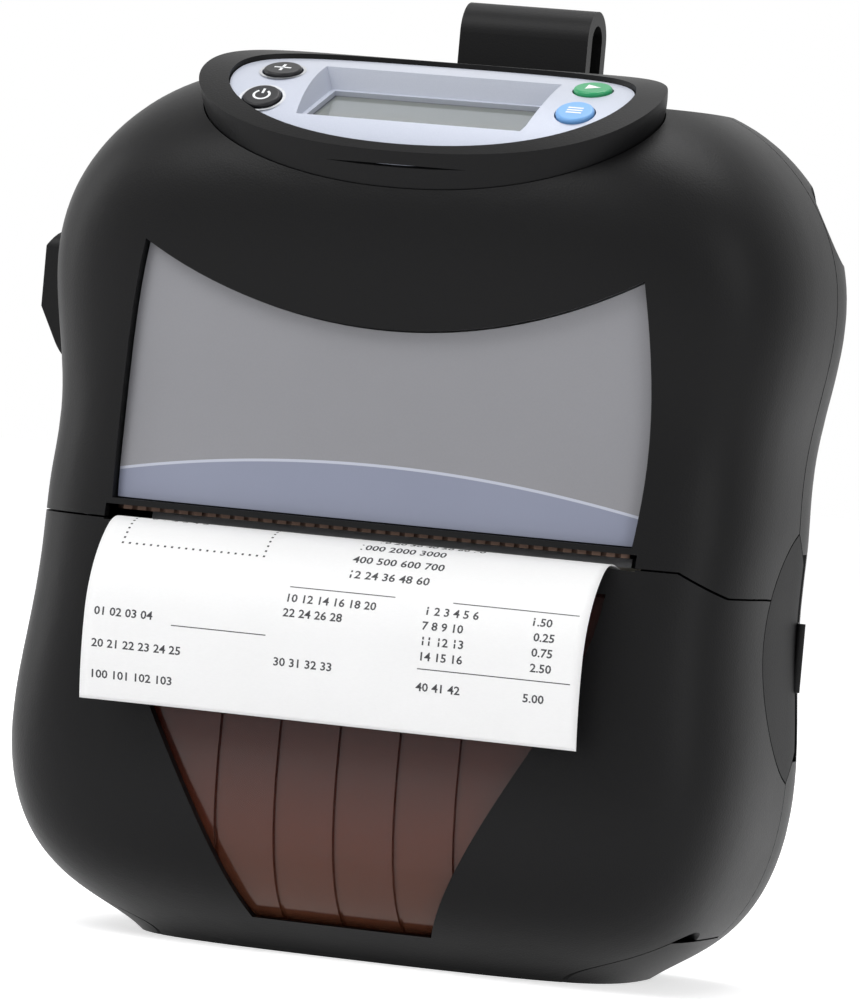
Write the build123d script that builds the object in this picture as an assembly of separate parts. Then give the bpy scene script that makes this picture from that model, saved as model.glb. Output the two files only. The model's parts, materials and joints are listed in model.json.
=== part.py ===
from build123d import *
from functools import lru_cache
import math
import os

# Portable receipt printer standing on its lower end.
# X runs to the right as seen from the front, Y to the back, Z up, all in millimetres.
# The origin is the middle of the flat foot, on the floor plane.

# Body form
BODY_WIDTH = 155.4
BODY_HEIGHT = 176.0
FRONT_DEPTH = 38.5
BACK_DEPTH = 38.5
SEAM_Y = 14.0
BACK_FULLNESS = 0.94
WALL = 2.4
SEAM_GAP = 0.4
SEAT_GAP = 0.3
RUN_GAP = 0.06

# Each row: share of the height, shares of half width, front depth and back depth, front fullness
FORM_ROWS = (
    (0.0, 0.68, 0.44, 0.727, 0.84),
    (0.045, 0.83, 0.69, 0.883, 0.88),
    (0.114, 0.952, 0.925, 0.987, 0.96),
    (0.205, 1.005, 1.0, 1.0, 0.98),
    (0.352, 0.993, 0.962, 1.0, 0.97),
    (0.523, 0.987, 0.84, 1.0, 0.96),
    (0.682, 1.01, 0.80, 1.0, 0.93),
    (0.83, 1.022, 0.86, 1.0, 0.90),
    (0.909, 0.945, 0.80, 0.99, 0.86),
    (0.966, 0.825, 0.58, 0.94, 0.84),
    (1.0, 0.69, 0.30, 0.82, 0.80),
)

# Media cover and its hinge
COVER_TOP = 84.2
COVER_TOP_RIGHT = 79.8
SEAM_STEP_X = 64.0
SEAM_STEP_RUN = 8.5
HINGE_Y = -6.0
HINGE_Z = 5.2
BARREL_R = 5.0
BARREL_HALF = 30.0
HINGE_BOSS = 7.0
HINGE_PIN_R = 1.5
HINGE_WEB = 5.2
FOOT_NOSE_R = 7.0

# Window in the cover
WINDOW_TOP_HALF = 51.0
WINDOW_MID_HALF = 36.5
WINDOW_MID_Z = 41.0
WINDOW_LOW_HALF = 19.0
WINDOW_LOW_Z = 7.0
WINDOW_TOP_Z = 79.0
WINDOW_THICK = 2.0
WINDOW_FLANGE = 3.0
GROOVE_PITCH = 12.6
GROOVE_COUNT = 5
GROOVE_WIDTH = 1.0
GROOVE_DEPTH = 0.8

# Display collar and its panel
PANEL_HALF = 42.0
PANEL_REACH = 18.5
PANEL_Y = -15.5
PANEL_FULLNESS = 0.66
PANEL_ARC_R = 56.0
PANEL_ARC_Y = 7.6
PANEL_ARC_Z = 125.3
PANEL_THICK = 2.0
RIM_WIDTH = 3.6
RIM_RISE = 1.0
LEDGE = 3.5
COLLAR_FOOT_Z = 148.0

# Each row: height, then how much narrower the collar is there than its rim
COLLAR_ROWS = (
    (COLLAR_FOOT_Z, 7.6),
    (155.0, 5.6),
    (163.0, 1.6),
    (187.0, -1.0),
)
DISPLAY_HALF = 23.5
DISPLAY_FRONT_Y = -28.0
DISPLAY_BACK_Y = -7.5
DISPLAY_TILT = 19.0
DISPLAY_MID_Z = 171.2
DISPLAY_FLARE = 20.0
WELL_WALL = 2.2
WELL_FLOOR = 1.0
WELL_LIP = 1.0
GLASS_THICK = 1.5
KEY_R = 3.9
KEY_GAP = 0.3
KEY_X = 32.5
KEY_LEFT_ANGLES = (22.0, 35.0)
KEY_RIGHT_ANGLES = (19.2, 31.5)
KEY_HEIGHT = 2.6
KEY_PROUD = 0.8
KEY_TRAVEL = 0.6
MAT_THICK = 1.0

# Nameplate in the front
PLATE_TOP_Z = 141.0
PLATE_LOW_Z = 88.4
PLATE_TOP_HALF = 52.5
PLATE_MID_HALF = 55.5
PLATE_LOW_HALF = 54.8
PLATE_DIP = 14.0
PLATE_RECESS = 3.0
PLATE_THICK = 0.8

# Paper path
PAPER_WIDTH = 104.0
PAPER_THICK = 0.25
PAPER_EXIT_Y = -31.5
PAPER_EXIT_R = 9.0
PAPER_EXIT_TURN = 50.0
PAPER_FALL_R = 23.0
PAPER_FALL_TURN = 50.0
PAPER_HANG_R = 70.0
PAPER_HANG_TURN = 14.0
SLOT_HALF = 56.0
SLOT_TOP = 87.2
PLATEN_R = 5.6
PLATEN_Y = -14.5
PLATEN_Z = 75.0
PLATEN_HALF = 52.6
PLATEN_SHAFT_R = 2.0
ARM_THICK = 2.4
NIP_ANGLE = 12.0
HEAD_HALF = 53.0
HEAD_THICK = 2.0
HEAD_DEPTH = 13.0
SINK_THICK = 5.0
FIN_COUNT = 4
TEAR_THICK = 0.8
TEAR_FRONT_Y = -29.5
TOOTH_PITCH = 3.0
TOOTH_DEPTH = 1.0

# Media roll
ROLL_R = 22.5
ROLL_Y = -4.4
ROLL_Z = 42.0
CORE_OUT_R = 11.0
CORE_IN_R = 9.5
SUPPORT_R = 20.0
SUPPORT_THICK = 3.0
SUPPORT_HUB = 3.0

# Gears
GEAR_MODULE = 0.7
GEAR_WIDTH = 2.6
GEAR_X = 58.4
PLATEN_TEETH = 14
IDLER_TEETH = 22
MOTOR_TEETH = 12
GEAR_PLAY = 0.2
TRAIN_ANGLE = 10.4
MOTOR_ANGLE = 41.0
MOTOR_R = 9.0
MOTOR_LENGTH = 22.0
STUD_R = 1.5

# Inner frame
FRAME_THICK = 2.4
FRAME_HALF = 57.8
FRAME_BACK_Y = 18.6
FRAME_TOP = 118.0
FRAME_LOW = 20.0
FRAME_BOSS_R = 3.0
FRAME_BOSS_PLACES = ((34.0, 40.0), (-34.0, 40.0), (34.0, 92.0), (-34.0, 92.0))
CHEEK_LOW = 68.0

# Main board
BOARD_THICK = 1.6
BOARD_HEIGHT = 34.0

# Battery in the back
BATTERY_HALF = 42.0
BATTERY_LOW = 14.0
BATTERY_HIGH = 98.0
BATTERY_FRONT_Y = 25.2
BAY_WALL = 2.0
BAY_GAP = 0.4
CONTACT_COUNT = 4
CONTACT_PITCH = 6.0
CONTACT_HALF = 1.2
CONTACT_Z = 86.0
CATCH_HALF = 12.0
CATCH_HEIGHT = 6.0
CATCH_TRAVEL = 3.0

# Belt clip
CLIP_WIDTH = 28.0
CLIP_THICK = 3.0
CLIP_PIVOT_Z = 150.0
CLIP_LOW_Z = 108.0
CLIP_TOP_Z = 196.7
CLIP_GAP = 7.0
CLIP_X = 1.0
CLIP_BOSS_R = 9.0
CLIP_SHIM = 1.2
CLIP_SCREW_R = 2.5

# Latch on the left side
LATCH_Y = 2.0
LATCH_LOW_Z = 115.0
LATCH_HIGH_Z = 141.0
LATCH_HALF_DEPTH = 9.0
LATCH_PROUD = 4.8
LATCH_BAR_Y = 12.0
LATCH_BAR_Z = 72.5
LATCH_BAR_R = 2.0
CATCH_PIN_Y = -4.0
CATCH_PIN_Z = 76.0
CATCH_PIN_R = 1.5
HOOK_X = 62.4
HOOK_THICK = 2.0

# Port door on the right side
DOOR_Y = 8.0
DOOR_Z = 68.0
DOOR_HALF_DEPTH = 12.0
DOOR_HALF_HEIGHT = 25.0
DOOR_THICK = 2.0
DOOR_BEAD_R = 0.9
DOOR_BEAD_HALF = 7.0
DOOR_BEAD_X = BODY_WIDTH / 2 - 0.7
DOOR_BEAD_Y = DOOR_Y + DOOR_HALF_DEPTH + 0.4
DOOR_SWING_R = 2.4

# Power jack and data socket behind the door
TRAY_X = BODY_WIDTH / 2 - 11.7
TRAY_THICK = 5.0
JACK_Z = 77.5
JACK_R = 4.6
JACK_BORE_R = 3.0
PORT_Z = 61.0
PORT_WIDTH = 11.0
PORT_HEIGHT = 9.0

# Strap posts on the shoulders
STRAP_X = 67.5
STRAP_Z = 156.0
STRAP_Y = 24.0
STRAP_R = 2.2
STRAP_NOTCH_R = 9.0

# Screws in the back
SCREW_R = 2.6
SCREW_DEPTH = 8.0
SCREW_PLACES = ((56.0, 112.0), (-56.0, 112.0), (55.0, 32.0), (-55.0, 32.0))


def block(x0, x1, y0, y1, z0, z1):
    """Box given by its six faces."""
    middle = ((x0 + x1) / 2, (y0 + y1) / 2, (z0 + z1) / 2)
    return Pos(*middle) * Box(x1 - x0, y1 - y0, z1 - z0)


def rod_x(x0, x1, y, z, radius):
    """Round bar along X."""
    return Pos((x0 + x1) / 2, y, z) * Rot(0, 90, 0) * Cylinder(radius, x1 - x0)


def rod_y(y0, y1, x, z, radius):
    """Round bar along Y."""
    return Pos(x, (y0 + y1) / 2, z) * Rot(90, 0, 0) * Cylinder(radius, y1 - y0)


def side_profile(x0, x1, points):
    """Extrude a closed outline, given as (y, z) points, from x0 to x1."""
    face = make_face(Polyline(*[(y, z) for y, z in points], close=True))
    plane = Plane(origin=(x0, 0, 0), x_dir=(0, 1, 0), z_dir=(1, 0, 0))
    return extrude(plane * face, x1 - x0)


def front_prism(edges, y0, y1):
    """Extrude a closed front outline, drawn in (x, z), from y0 back to y1."""
    face = make_face(edges)
    plane = Plane(origin=(0, y1, 0), x_dir=(1, 0, 0), z_dir=(0, -1, 0))
    return extrude(plane * face, y1 - y0)


def both_sides(solid):
    """The solid and its mirror image across the middle plane."""
    return solid + mirror(solid, Plane.YZ)


def quarter(start, corner, end, fullness):
    """Quarter of an oval from start to end; fullness pulls it towards the corner."""
    return Edge.make_bezier(
        start,
        start + (corner - start) * fullness,
        end + (corner - end) * fullness,
        end,
    )


def full_oval(level, half, front, back, middle, front_fullness, back_fullness):
    """Level face bounded by four quarters that meet at y = middle on both sides."""
    right = Vector(half, middle)
    left = Vector(-half, middle)
    nose = Vector(0, front)
    tail = Vector(0, back)
    wire = Wire([
        quarter(right, Vector(half, back), tail, back_fullness),
        quarter(tail, Vector(-half, back), left, back_fullness),
        quarter(left, Vector(-half, front), nose, front_fullness),
        quarter(nose, Vector(half, front), right, front_fullness),
    ])
    return Pos(0, 0, level) * Face(wire)


@lru_cache(maxsize=None)
def form(inset):
    """The whole pebble-shaped body, drawn in by inset on every side."""
    faces = []
    for row, (height, half, front, back, fullness) in enumerate(FORM_ROWS):
        level = BODY_HEIGHT * height
        if row == 0:
            level += inset
        if row == len(FORM_ROWS) - 1:
            level -= inset
        faces.append(full_oval(
            level,
            BODY_WIDTH / 2 * half - inset,
            inset - FRONT_DEPTH * front,
            BACK_DEPTH * back - inset,
            SEAM_Y,
            fullness,
            BACK_FULLNESS,
        ))
    flat_back = block(-BODY_WIDTH, BODY_WIDTH, -2 * FRONT_DEPTH, BACK_DEPTH - inset, -1, BODY_HEIGHT + 1)
    return loft(faces) & flat_back


def cover_space(gap):
    """Room that belongs to the media cover, grown by gap on its split lines."""
    wide = BODY_WIDTH
    step_end = SEAM_STEP_X + SEAM_STEP_RUN

    def slice_of(x0, x1, top):
        reach = top - HINGE_Z + gap
        front = block(x0, x1, -2 * FRONT_DEPTH, HINGE_Y, -1, top + gap)
        swing = rod_x(x0, x1, HINGE_Y, HINGE_Z, reach)
        swing &= block(x0, x1, HINGE_Y, SEAM_Y + gap, HINGE_Z, top + gap)
        return front + swing

    space = slice_of(-wide, step_end + gap, COVER_TOP) + slice_of(step_end, wide, COVER_TOP_RIGHT)
    corner = [
        (SEAM_STEP_X + gap / 2, COVER_TOP + gap),
        (step_end + gap / 2, COVER_TOP_RIGHT + gap),
        (wide, COVER_TOP_RIGHT + gap),
        (wide, COVER_TOP + 2 + gap),
        (SEAM_STEP_X + gap / 2, COVER_TOP + 2 + gap),
    ]
    space -= front_prism(Polyline(*corner, close=True), -2 * FRONT_DEPTH, SEAM_Y + 1)
    foot_z = HINGE_Z + BARREL_R + SEAM_GAP - gap
    space -= rod_x(-wide, wide, HINGE_Y, HINGE_Z, FOOT_NOSE_R + SEAM_GAP - gap)
    return space - block(-wide, wide, HINGE_Y, SEAM_Y + 1, -2, foot_z)


def window_outline(grow):
    """Funnel-shaped outline of the window, in (x, z), grown outward by grow."""
    top = WINDOW_TOP_Z + grow
    low = WINDOW_LOW_Z - grow
    right = Spline(
        (WINDOW_LOW_HALF + grow, low),
        (WINDOW_MID_HALF + grow, WINDOW_MID_Z),
        (WINDOW_TOP_HALF + grow, top),
        tangents=[(0.45, 1), (0.1, 1)],
    )
    left = mirror(right, Plane.YZ)
    return Curve() + [
        right,
        left,
        Line((-WINDOW_TOP_HALF - grow, top), (WINDOW_TOP_HALF + grow, top)),
        Line((-WINDOW_LOW_HALF - grow, low), (WINDOW_LOW_HALF + grow, low)),
    ]


def plate_outline(shrink):
    """Outline of the nameplate in (x, z): bowed sides and a top that dips in the middle."""
    low = PLATE_LOW_Z + shrink
    top = PLATE_TOP_Z - shrink
    low_half = PLATE_LOW_HALF - shrink
    mid_half = PLATE_MID_HALF - shrink
    top_half = PLATE_TOP_HALF - shrink
    middle = (low + top) / 2
    return Curve() + [
        Line((-low_half, low), (low_half, low)),
        ThreePointArc((low_half, low), (mid_half, middle), (top_half, top)),
        ThreePointArc((top_half, top), (0, top - PLATE_DIP), (-top_half, top)),
        ThreePointArc((-top_half, top), (-mid_half, middle), (-low_half, low)),
    ]


def oval(level, half, reach):
    """Oval of the display panel, lying level."""
    front = PANEL_Y - reach
    back = PANEL_Y + reach
    return full_oval(level, half, front, back, PANEL_Y, PANEL_FULLNESS, PANEL_FULLNESS)


def panel_skin(rise):
    """Everything below the curved top of the display panel, lifted by rise."""
    return rod_x(-BODY_WIDTH, BODY_WIDTH, PANEL_ARC_Y, PANEL_ARC_Z, PANEL_ARC_R + rise)


def collar_form(draw_in):
    """Flared oval plug that carries the display, drawn in by draw_in."""
    half = PANEL_HALF + RIM_WIDTH - draw_in
    reach = PANEL_REACH + RIM_WIDTH - draw_in
    return loft([oval(level, half - narrower, reach - narrower) for level, narrower in COLLAR_ROWS])


def display_plane(lift):
    """Plane of the display glass."""
    middle = (DISPLAY_FRONT_Y + DISPLAY_BACK_Y) / 2
    return Pos(0, middle, DISPLAY_MID_Z) * Rot(DISPLAY_TILT, 0, 0) * Pos(0, 0, lift)


def key_place(side, angle):
    """Frame of one key: its origin lies on the panel skin, its Z points out of the panel."""
    lean = math.radians(angle)
    y = PANEL_ARC_Y - PANEL_ARC_R * math.sin(lean)
    z = PANEL_ARC_Z + PANEL_ARC_R * math.cos(lean)
    return Pos(side * KEY_X, y, z) * Rot(angle, 0, 0)


def key_places():
    """The four keys in order: left back, left front, right back, right front."""
    left = [key_place(-1, angle) for angle in KEY_LEFT_ANGLES]
    return left + [key_place(1, angle) for angle in KEY_RIGHT_ANGLES]


def make_front_housing(outer, inner):
    """Upper front shell with its nameplate recess, paper slot, collar opening and boss bores."""
    shell = outer - inner
    shell &= block(-BODY_WIDTH, BODY_WIDTH, -2 * FRONT_DEPTH, SEAM_Y - SEAM_GAP / 2, 0, BODY_HEIGHT)
    shell -= cover_space(SEAM_GAP)
    shell -= block(-BODY_WIDTH, BODY_WIDTH, -2 * FRONT_DEPTH, SEAM_Y, -1, COVER_TOP_RIGHT - 6)
    slot_low = COVER_TOP - 1
    shell -= block(-SLOT_HALF, SLOT_HALF, -2 * FRONT_DEPTH, PLATEN_Y - 4, slot_low, SLOT_TOP)
    backing = form(WALL / 2) - form(PLATE_RECESS + WALL)
    backing &= front_prism(plate_outline(-WALL).edges(), -2 * FRONT_DEPTH, PLATEN_Y + 4)
    backing &= block(-BODY_WIDTH, BODY_WIDTH, -2 * FRONT_DEPTH, 0, SLOT_TOP, BODY_HEIGHT)
    shell += backing
    recess = front_prism(plate_outline(0).edges(), -2 * FRONT_DEPTH, 0)
    shell -= recess - form(PLATE_RECESS)
    shell -= collar_form(-SEAT_GAP)
    shell -= latch_window(SEAM_GAP)
    shell -= door_leaf(SEAM_GAP)
    shell -= strap_notch()
    return shell


def strap_notch():
    """Hollow in each shoulder where a strap passes round its post."""
    notch = Pos(STRAP_X + STRAP_NOTCH_R - STRAP_R, STRAP_Y, STRAP_Z) * Sphere(STRAP_NOTCH_R)
    return both_sides(notch)


def make_rear_housing(outer, inner):
    """Back shell with the battery bay, the foot, the hinge bosses and the clip seat."""
    wide = BODY_WIDTH
    region = block(-wide, wide, SEAM_Y + SEAM_GAP / 2, BACK_DEPTH, -1, BODY_HEIGHT + 1)
    foot_top = HINGE_Z + BARREL_R
    foot_region = block(-wide, wide, HINGE_Y, SEAM_Y + 1, -1, foot_top)
    foot_region += rod_x(-wide, wide, HINGE_Y, HINGE_Z, FOOT_NOSE_R) & block(-wide, wide, -2 * FRONT_DEPTH, 0, -1, foot_top)
    shell = (outer - inner) & (region + foot_region)
    bay_half = BATTERY_HALF + BAY_GAP + BAY_WALL
    bay_low = BATTERY_LOW - BAY_GAP - BAY_WALL
    bay_high = BATTERY_HIGH + BAY_GAP + BAY_WALL
    bay_front = BATTERY_FRONT_Y - BAY_GAP - BAY_WALL
    bay = block(-bay_half, bay_half, bay_front, BACK_DEPTH, bay_low, bay_high) & outer
    shell += bay
    shell -= block(
        -BATTERY_HALF - BAY_GAP, BATTERY_HALF + BAY_GAP,
        BATTERY_FRONT_Y - BAY_GAP, BACK_DEPTH + 1,
        BATTERY_LOW - BAY_GAP, BATTERY_HIGH + BAY_GAP,
    )
    relief = rod_x(-BARREL_HALF - 0.2, BARREL_HALF + 0.2, HINGE_Y, HINGE_Z, BARREL_R + SEAM_GAP)
    relief += block(-BARREL_HALF - 0.2, BARREL_HALF + 0.2, HINGE_Y - FOOT_NOSE_R - 1, HINGE_Y, -1, foot_top + 1)
    relief += block(-BARREL_HALF - 0.2, BARREL_HALF + 0.2, HINGE_Y, HINGE_Y + BARREL_R + 1, -1, HINGE_Z - 2.4)
    shell -= relief
    boss_start = BARREL_HALF + 0.2
    boss = rod_x(boss_start, boss_start + HINGE_BOSS, HINGE_Y, HINGE_Z, BARREL_R - 0.2)
    boss += block(boss_start, boss_start + HINGE_BOSS, HINGE_Y, HINGE_Y + 10, 0, HINGE_Z)
    shell += both_sides(boss & outer)
    shell -= both_sides(rod_x(boss_start - 1, boss_start + HINGE_BOSS, HINGE_Y, HINGE_Z, HINGE_PIN_R))
    shell -= door_leaf(SEAM_GAP)
    shell -= strap_notch()
    post = rod_y(SEAM_Y + 1, BACK_DEPTH - 3, STRAP_X, STRAP_Z, STRAP_R) & outer
    shell -= collar_form(-SEAT_GAP)
    shell += both_sides(post)
    clip_bore = rod_y(BACK_DEPTH - 12, BACK_DEPTH + 1, CLIP_X, CLIP_PIVOT_Z, CLIP_SCREW_R)
    clip_pad = rod_y(BACK_DEPTH - 12, BACK_DEPTH, CLIP_X, CLIP_PIVOT_Z, CLIP_SCREW_R + 3)
    shell = shell + clip_pad - clip_bore
    for x, z in FRAME_BOSS_PLACES:
        shell += rod_y(FRAME_BACK_Y + FRAME_THICK, bay_front + 0.5, x, z, FRAME_BOSS_R)
    shell += port_tray()
    shell -= door_bead(SEAM_GAP / 2)
    shell -= door_swing_room()
    for x, z in SCREW_PLACES:
        shell += rod_y(BACK_DEPTH - SCREW_DEPTH - 2, BACK_DEPTH - 1, x, z, SCREW_R + 2)
        shell -= rod_y(BACK_DEPTH - SCREW_DEPTH, BACK_DEPTH + 1, x, z, SCREW_R)
    shell -= catch_room(BATTERY_HIGH + BAY_GAP)
    for blade in contact_blades(0.05):
        shell -= blade
    return shell


def port_tray():
    """Ledge behind the port door that holds the power jack and the data socket."""
    link_y = DOOR_Y + DOOR_HALF_DEPTH + 2 * SEAM_GAP
    tray = block(TRAY_X, TRAY_X + TRAY_THICK, DOOR_Y - 9, link_y + 3, DOOR_Z - 18, DOOR_Z + 18)
    tray &= form(DOOR_THICK + SEAT_GAP)
    tray += block(TRAY_X, BODY_WIDTH, link_y, link_y + 3, DOOR_Z - 18, DOOR_Z + 18) & form(WALL / 2)
    tray -= rod_x(TRAY_X - 1, BODY_WIDTH, DOOR_Y, JACK_Z, JACK_R)
    return tray - port_block(TRAY_X - 1, BODY_WIDTH)


def port_block(x0, x1):
    """Outside of the data socket from x0 to x1."""
    half = PORT_WIDTH / 2
    return block(x0, x1, DOOR_Y - half, DOOR_Y + half, PORT_Z - PORT_HEIGHT / 2, PORT_Z + PORT_HEIGHT / 2)


def make_dc_jack():
    """Round power jack in the port tray."""
    x1 = TRAY_X + TRAY_THICK + 0.4
    jack = rod_x(TRAY_X - 1, x1, DOOR_Y, JACK_Z, JACK_R)
    return jack - rod_x(TRAY_X - 0.5, x1 + 1, DOOR_Y, JACK_Z, JACK_BORE_R)


def make_data_port():
    """Data socket in the port tray, open to the side."""
    x1 = TRAY_X + TRAY_THICK + 0.4
    port = port_block(TRAY_X - 1, x1)
    half = PORT_WIDTH / 2 - 1
    rise = PORT_HEIGHT / 2 - 1
    return port - block(TRAY_X - 0.5, x1 + 1, DOOR_Y - half, DOOR_Y + half, PORT_Z - rise, PORT_Z + rise)


def catch_room(slot_z):
    """Room above the battery for its catch."""
    return block(
        -CATCH_HALF - BAY_GAP, CATCH_HALF + BAY_GAP,
        BATTERY_FRONT_Y + 5, BACK_DEPTH + 1,
        slot_z - 1, slot_z + CATCH_HEIGHT + CATCH_TRAVEL + BAY_GAP,
    )


def make_media_cover(outer, inner):
    """Front door shell with bulging cheeks, a funnel-shaped window, hinge barrel and platen arms."""
    space = cover_space(0)
    shell = (outer - inner) & space
    opening = front_prism(window_outline(0).edges(), -2 * FRONT_DEPTH, 0)
    shell -= opening
    barrel = rod_x(-BARREL_HALF, BARREL_HALF, HINGE_Y, HINGE_Z, BARREL_R)
    web_start = WINDOW_LOW_HALF + WINDOW_FLANGE + 0.5
    web = block(web_start, BARREL_HALF, HINGE_Y - 2 * HINGE_WEB, HINGE_Y - 2, 0, HINGE_Z + 2)
    shell += barrel + both_sides(web & outer)
    shell -= rod_x(-BARREL_HALF - 1, BARREL_HALF + 1, HINGE_Y, HINGE_Z, HINGE_PIN_R + RUN_GAP)
    arm_x = PLATEN_HALF + 2
    arm = block(arm_x, arm_x + ARM_THICK, -2 * FRONT_DEPTH, PLATEN_Y + 5, PLATEN_Z - 7, PLATEN_Z + 5)
    arm = (arm & form(WALL / 2)) - rod_x(0, BODY_WIDTH, PLATEN_Y, PLATEN_Z, bush_radius())
    shell += both_sides(arm)
    pin = rod_x(HOOK_X - 0.5, BODY_WIDTH, CATCH_PIN_Y, CATCH_PIN_Z, CATCH_PIN_R) & form(WALL / 2)
    shell += both_sides(pin)
    shell -= door_leaf(SEAM_GAP)
    return shell - paper_way()


def paper_way():
    """Room for the paper over the cover's top edge."""
    slope = math.tan(math.radians(NIP_ANGLE))
    start_y = PLATEN_Y - PLATEN_R
    start_z = PLATEN_Z + PLATEN_R / math.cos(math.radians(NIP_ANGLE)) + PLATEN_R * slope - SEAT_GAP
    run = 2 * FRONT_DEPTH
    return side_profile(-SLOT_HALF, SLOT_HALF, [
        (start_y, start_z),
        (start_y - run, start_z + run * slope),
        (start_y - run, SLOT_TOP + run),
        (start_y, SLOT_TOP + run),
    ])


def bush_radius():
    """Outside radius of the platen bushes."""
    return PLATEN_SHAFT_R + 1.6


def make_media_window(outer):
    """Smoked window that follows the body form, with a flange behind the cover and upright grooves."""
    band = form(WALL + SEAT_GAP) - form(WALL + SEAT_GAP + WINDOW_THICK)
    flange = band & front_prism(window_outline(WINDOW_FLANGE).edges(), -2 * FRONT_DEPTH, HINGE_Y - 4)
    flange &= block(-BODY_WIDTH, BODY_WIDTH, -2 * FRONT_DEPTH, HINGE_Y - BARREL_R, WALL + 1, COVER_TOP - 1)
    skin = form(0) - form(WALL + SEAT_GAP + GROOVE_DEPTH)
    for step in range(GROOVE_COUNT):
        x = (step - (GROOVE_COUNT - 1) / 2) * GROOVE_PITCH
        half = GROOVE_WIDTH / 2
        flange -= skin & block(x - half, x + half, -2 * FRONT_DEPTH, 0, WINDOW_LOW_Z, COVER_TOP)
    return flange


def latch_window(gap):
    """Opening for the release button in the left side."""
    opening = Pos(-BODY_WIDTH / 2, LATCH_Y, (LATCH_LOW_Z + LATCH_HIGH_Z) / 2) * Box(
        20,
        2 * (LATCH_HALF_DEPTH + gap),
        LATCH_HIGH_Z - LATCH_LOW_Z + 2 * gap,
    )
    return fillet(opening.edges().filter_by(Axis.X), 4)


def make_latch_button():
    """Release button that stands out of the left side most at its upper end."""
    height = LATCH_HIGH_Z - LATCH_LOW_Z
    side = BODY_WIDTH / 2 + 0.3
    core = Pos(-side, LATCH_Y, (LATCH_LOW_Z + LATCH_HIGH_Z) / 2) * Box(20, 2 * LATCH_HALF_DEPTH, height)
    core = fillet(core.edges().filter_by(Axis.X), 3.6)
    profile = [
        (-side + 0.6, LATCH_LOW_Z),
        (-side - LATCH_PROUD, LATCH_LOW_Z + 10.5),
        (-side - LATCH_PROUD, LATCH_HIGH_Z - 3),
        (-side - LATCH_PROUD + 2, LATCH_HIGH_Z),
        (-side + 5, LATCH_HIGH_Z),
        (-side + 5, LATCH_LOW_Z),
    ]
    lever = core & front_prism(Polyline(*profile, close=True), LATCH_Y - 20, LATCH_Y + 20)
    back = side - 5
    flange = block(
        -back, -back + 1.6,
        LATCH_Y - LATCH_HALF_DEPTH - 2, LATCH_Y + LATCH_HALF_DEPTH + 2,
        LATCH_LOW_Z - 2, LATCH_HIGH_Z + 2,
    )
    return lever + (flange & form(WALL + SEAT_GAP))


def door_outline(gap):
    """Leaf-shaped outline of the port door in (y, z)."""
    front = ThreePointArc(
        (DOOR_Y + 6, DOOR_Z + DOOR_HALF_HEIGHT + gap),
        (DOOR_Y - DOOR_HALF_DEPTH - gap, DOOR_Z),
        (DOOR_Y + 6, DOOR_Z - DOOR_HALF_HEIGHT - gap),
    )
    back = Polyline(
        (DOOR_Y + 6, DOOR_Z - DOOR_HALF_HEIGHT - gap),
        (DOOR_Y + DOOR_HALF_DEPTH + gap, DOOR_Z - DOOR_HALF_HEIGHT + 6),
        (DOOR_Y + DOOR_HALF_DEPTH + gap, DOOR_Z + DOOR_HALF_HEIGHT - 6),
        (DOOR_Y + 6, DOOR_Z + DOOR_HALF_HEIGHT + gap),
    )
    return Curve() + [front, back]


def door_leaf(gap):
    """Prism through the right side wall with the outline of the port door."""
    face = make_face(door_outline(gap).edges())
    plane = Plane(origin=(BODY_WIDTH / 2 - 14, 0, 0), x_dir=(0, 1, 0), z_dir=(1, 0, 0))
    return extrude(plane * face, 30)


def door_bead(grow):
    """Round bead on the rear edge of the port door, on its turning axis."""
    bead = Cylinder(DOOR_BEAD_R + grow, 2 * DOOR_BEAD_HALF + 2 * grow)
    return Pos(DOOR_BEAD_X, DOOR_BEAD_Y, DOOR_Z) * bead


def door_swing_room():
    """Grooves beyond both ends of the bead that the door's rear edge swings through."""
    length = DOOR_HALF_HEIGHT - 4 - DOOR_BEAD_HALF
    groove = Pos(DOOR_BEAD_X, DOOR_BEAD_Y, DOOR_Z) * Cylinder(DOOR_SWING_R, 2 * (DOOR_BEAD_HALF + length))
    middle = Pos(DOOR_BEAD_X, DOOR_BEAD_Y, DOOR_Z) * Cylinder(DOOR_SWING_R, 2 * DOOR_BEAD_HALF + SEAM_GAP)
    return groove - middle


def make_port_door():
    """Soft leaf-shaped door flush with the right side, with a hinge bead on its rear edge."""
    return ((form(0) - form(DOOR_THICK)) & door_leaf(0)) + door_bead(0)


def make_display_collar():
    """Raised oval rim round the display, tapering down into the front shell, with a ledge for the panel."""
    ring = collar_form(0) & panel_skin(RIM_RISE)
    pocket = extrude(oval(COLLAR_FOOT_Z - 1, PANEL_HALF + SEAT_GAP, PANEL_REACH + SEAT_GAP), BODY_HEIGHT)
    ring -= pocket - panel_skin(-PANEL_THICK - SEAT_GAP)
    ring -= extrude(oval(COLLAR_FOOT_Z - 1, PANEL_HALF - LEDGE, PANEL_REACH - LEDGE), BODY_HEIGHT)
    well_room = display_well(WELL_WALL + SEAT_GAP, -6, 4)
    ring -= well_room & panel_skin(-PANEL_THICK)
    for place in key_places():
        ring -= place * Pos(0, 0, -PANEL_THICK - KEY_HEIGHT) * Cylinder(KEY_R + 2 * KEY_GAP, 2 * KEY_HEIGHT)
    return ring


def display_well(grow, low, high):
    """Block over the display glass, grown sideways by grow, between two heights over the glass plane."""
    depth = DISPLAY_BACK_Y - DISPLAY_FRONT_Y
    box = Box(2 * (DISPLAY_HALF + grow), depth + 2 * grow, high - low)
    return display_plane((low + high) / 2) * box


def display_mouth():
    """Flared opening of the display well."""
    depth = DISPLAY_BACK_Y - DISPLAY_FRONT_Y
    return extrude(display_plane(0) * Rectangle(2 * DISPLAY_HALF, depth), 12, taper=-DISPLAY_FLARE)


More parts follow.
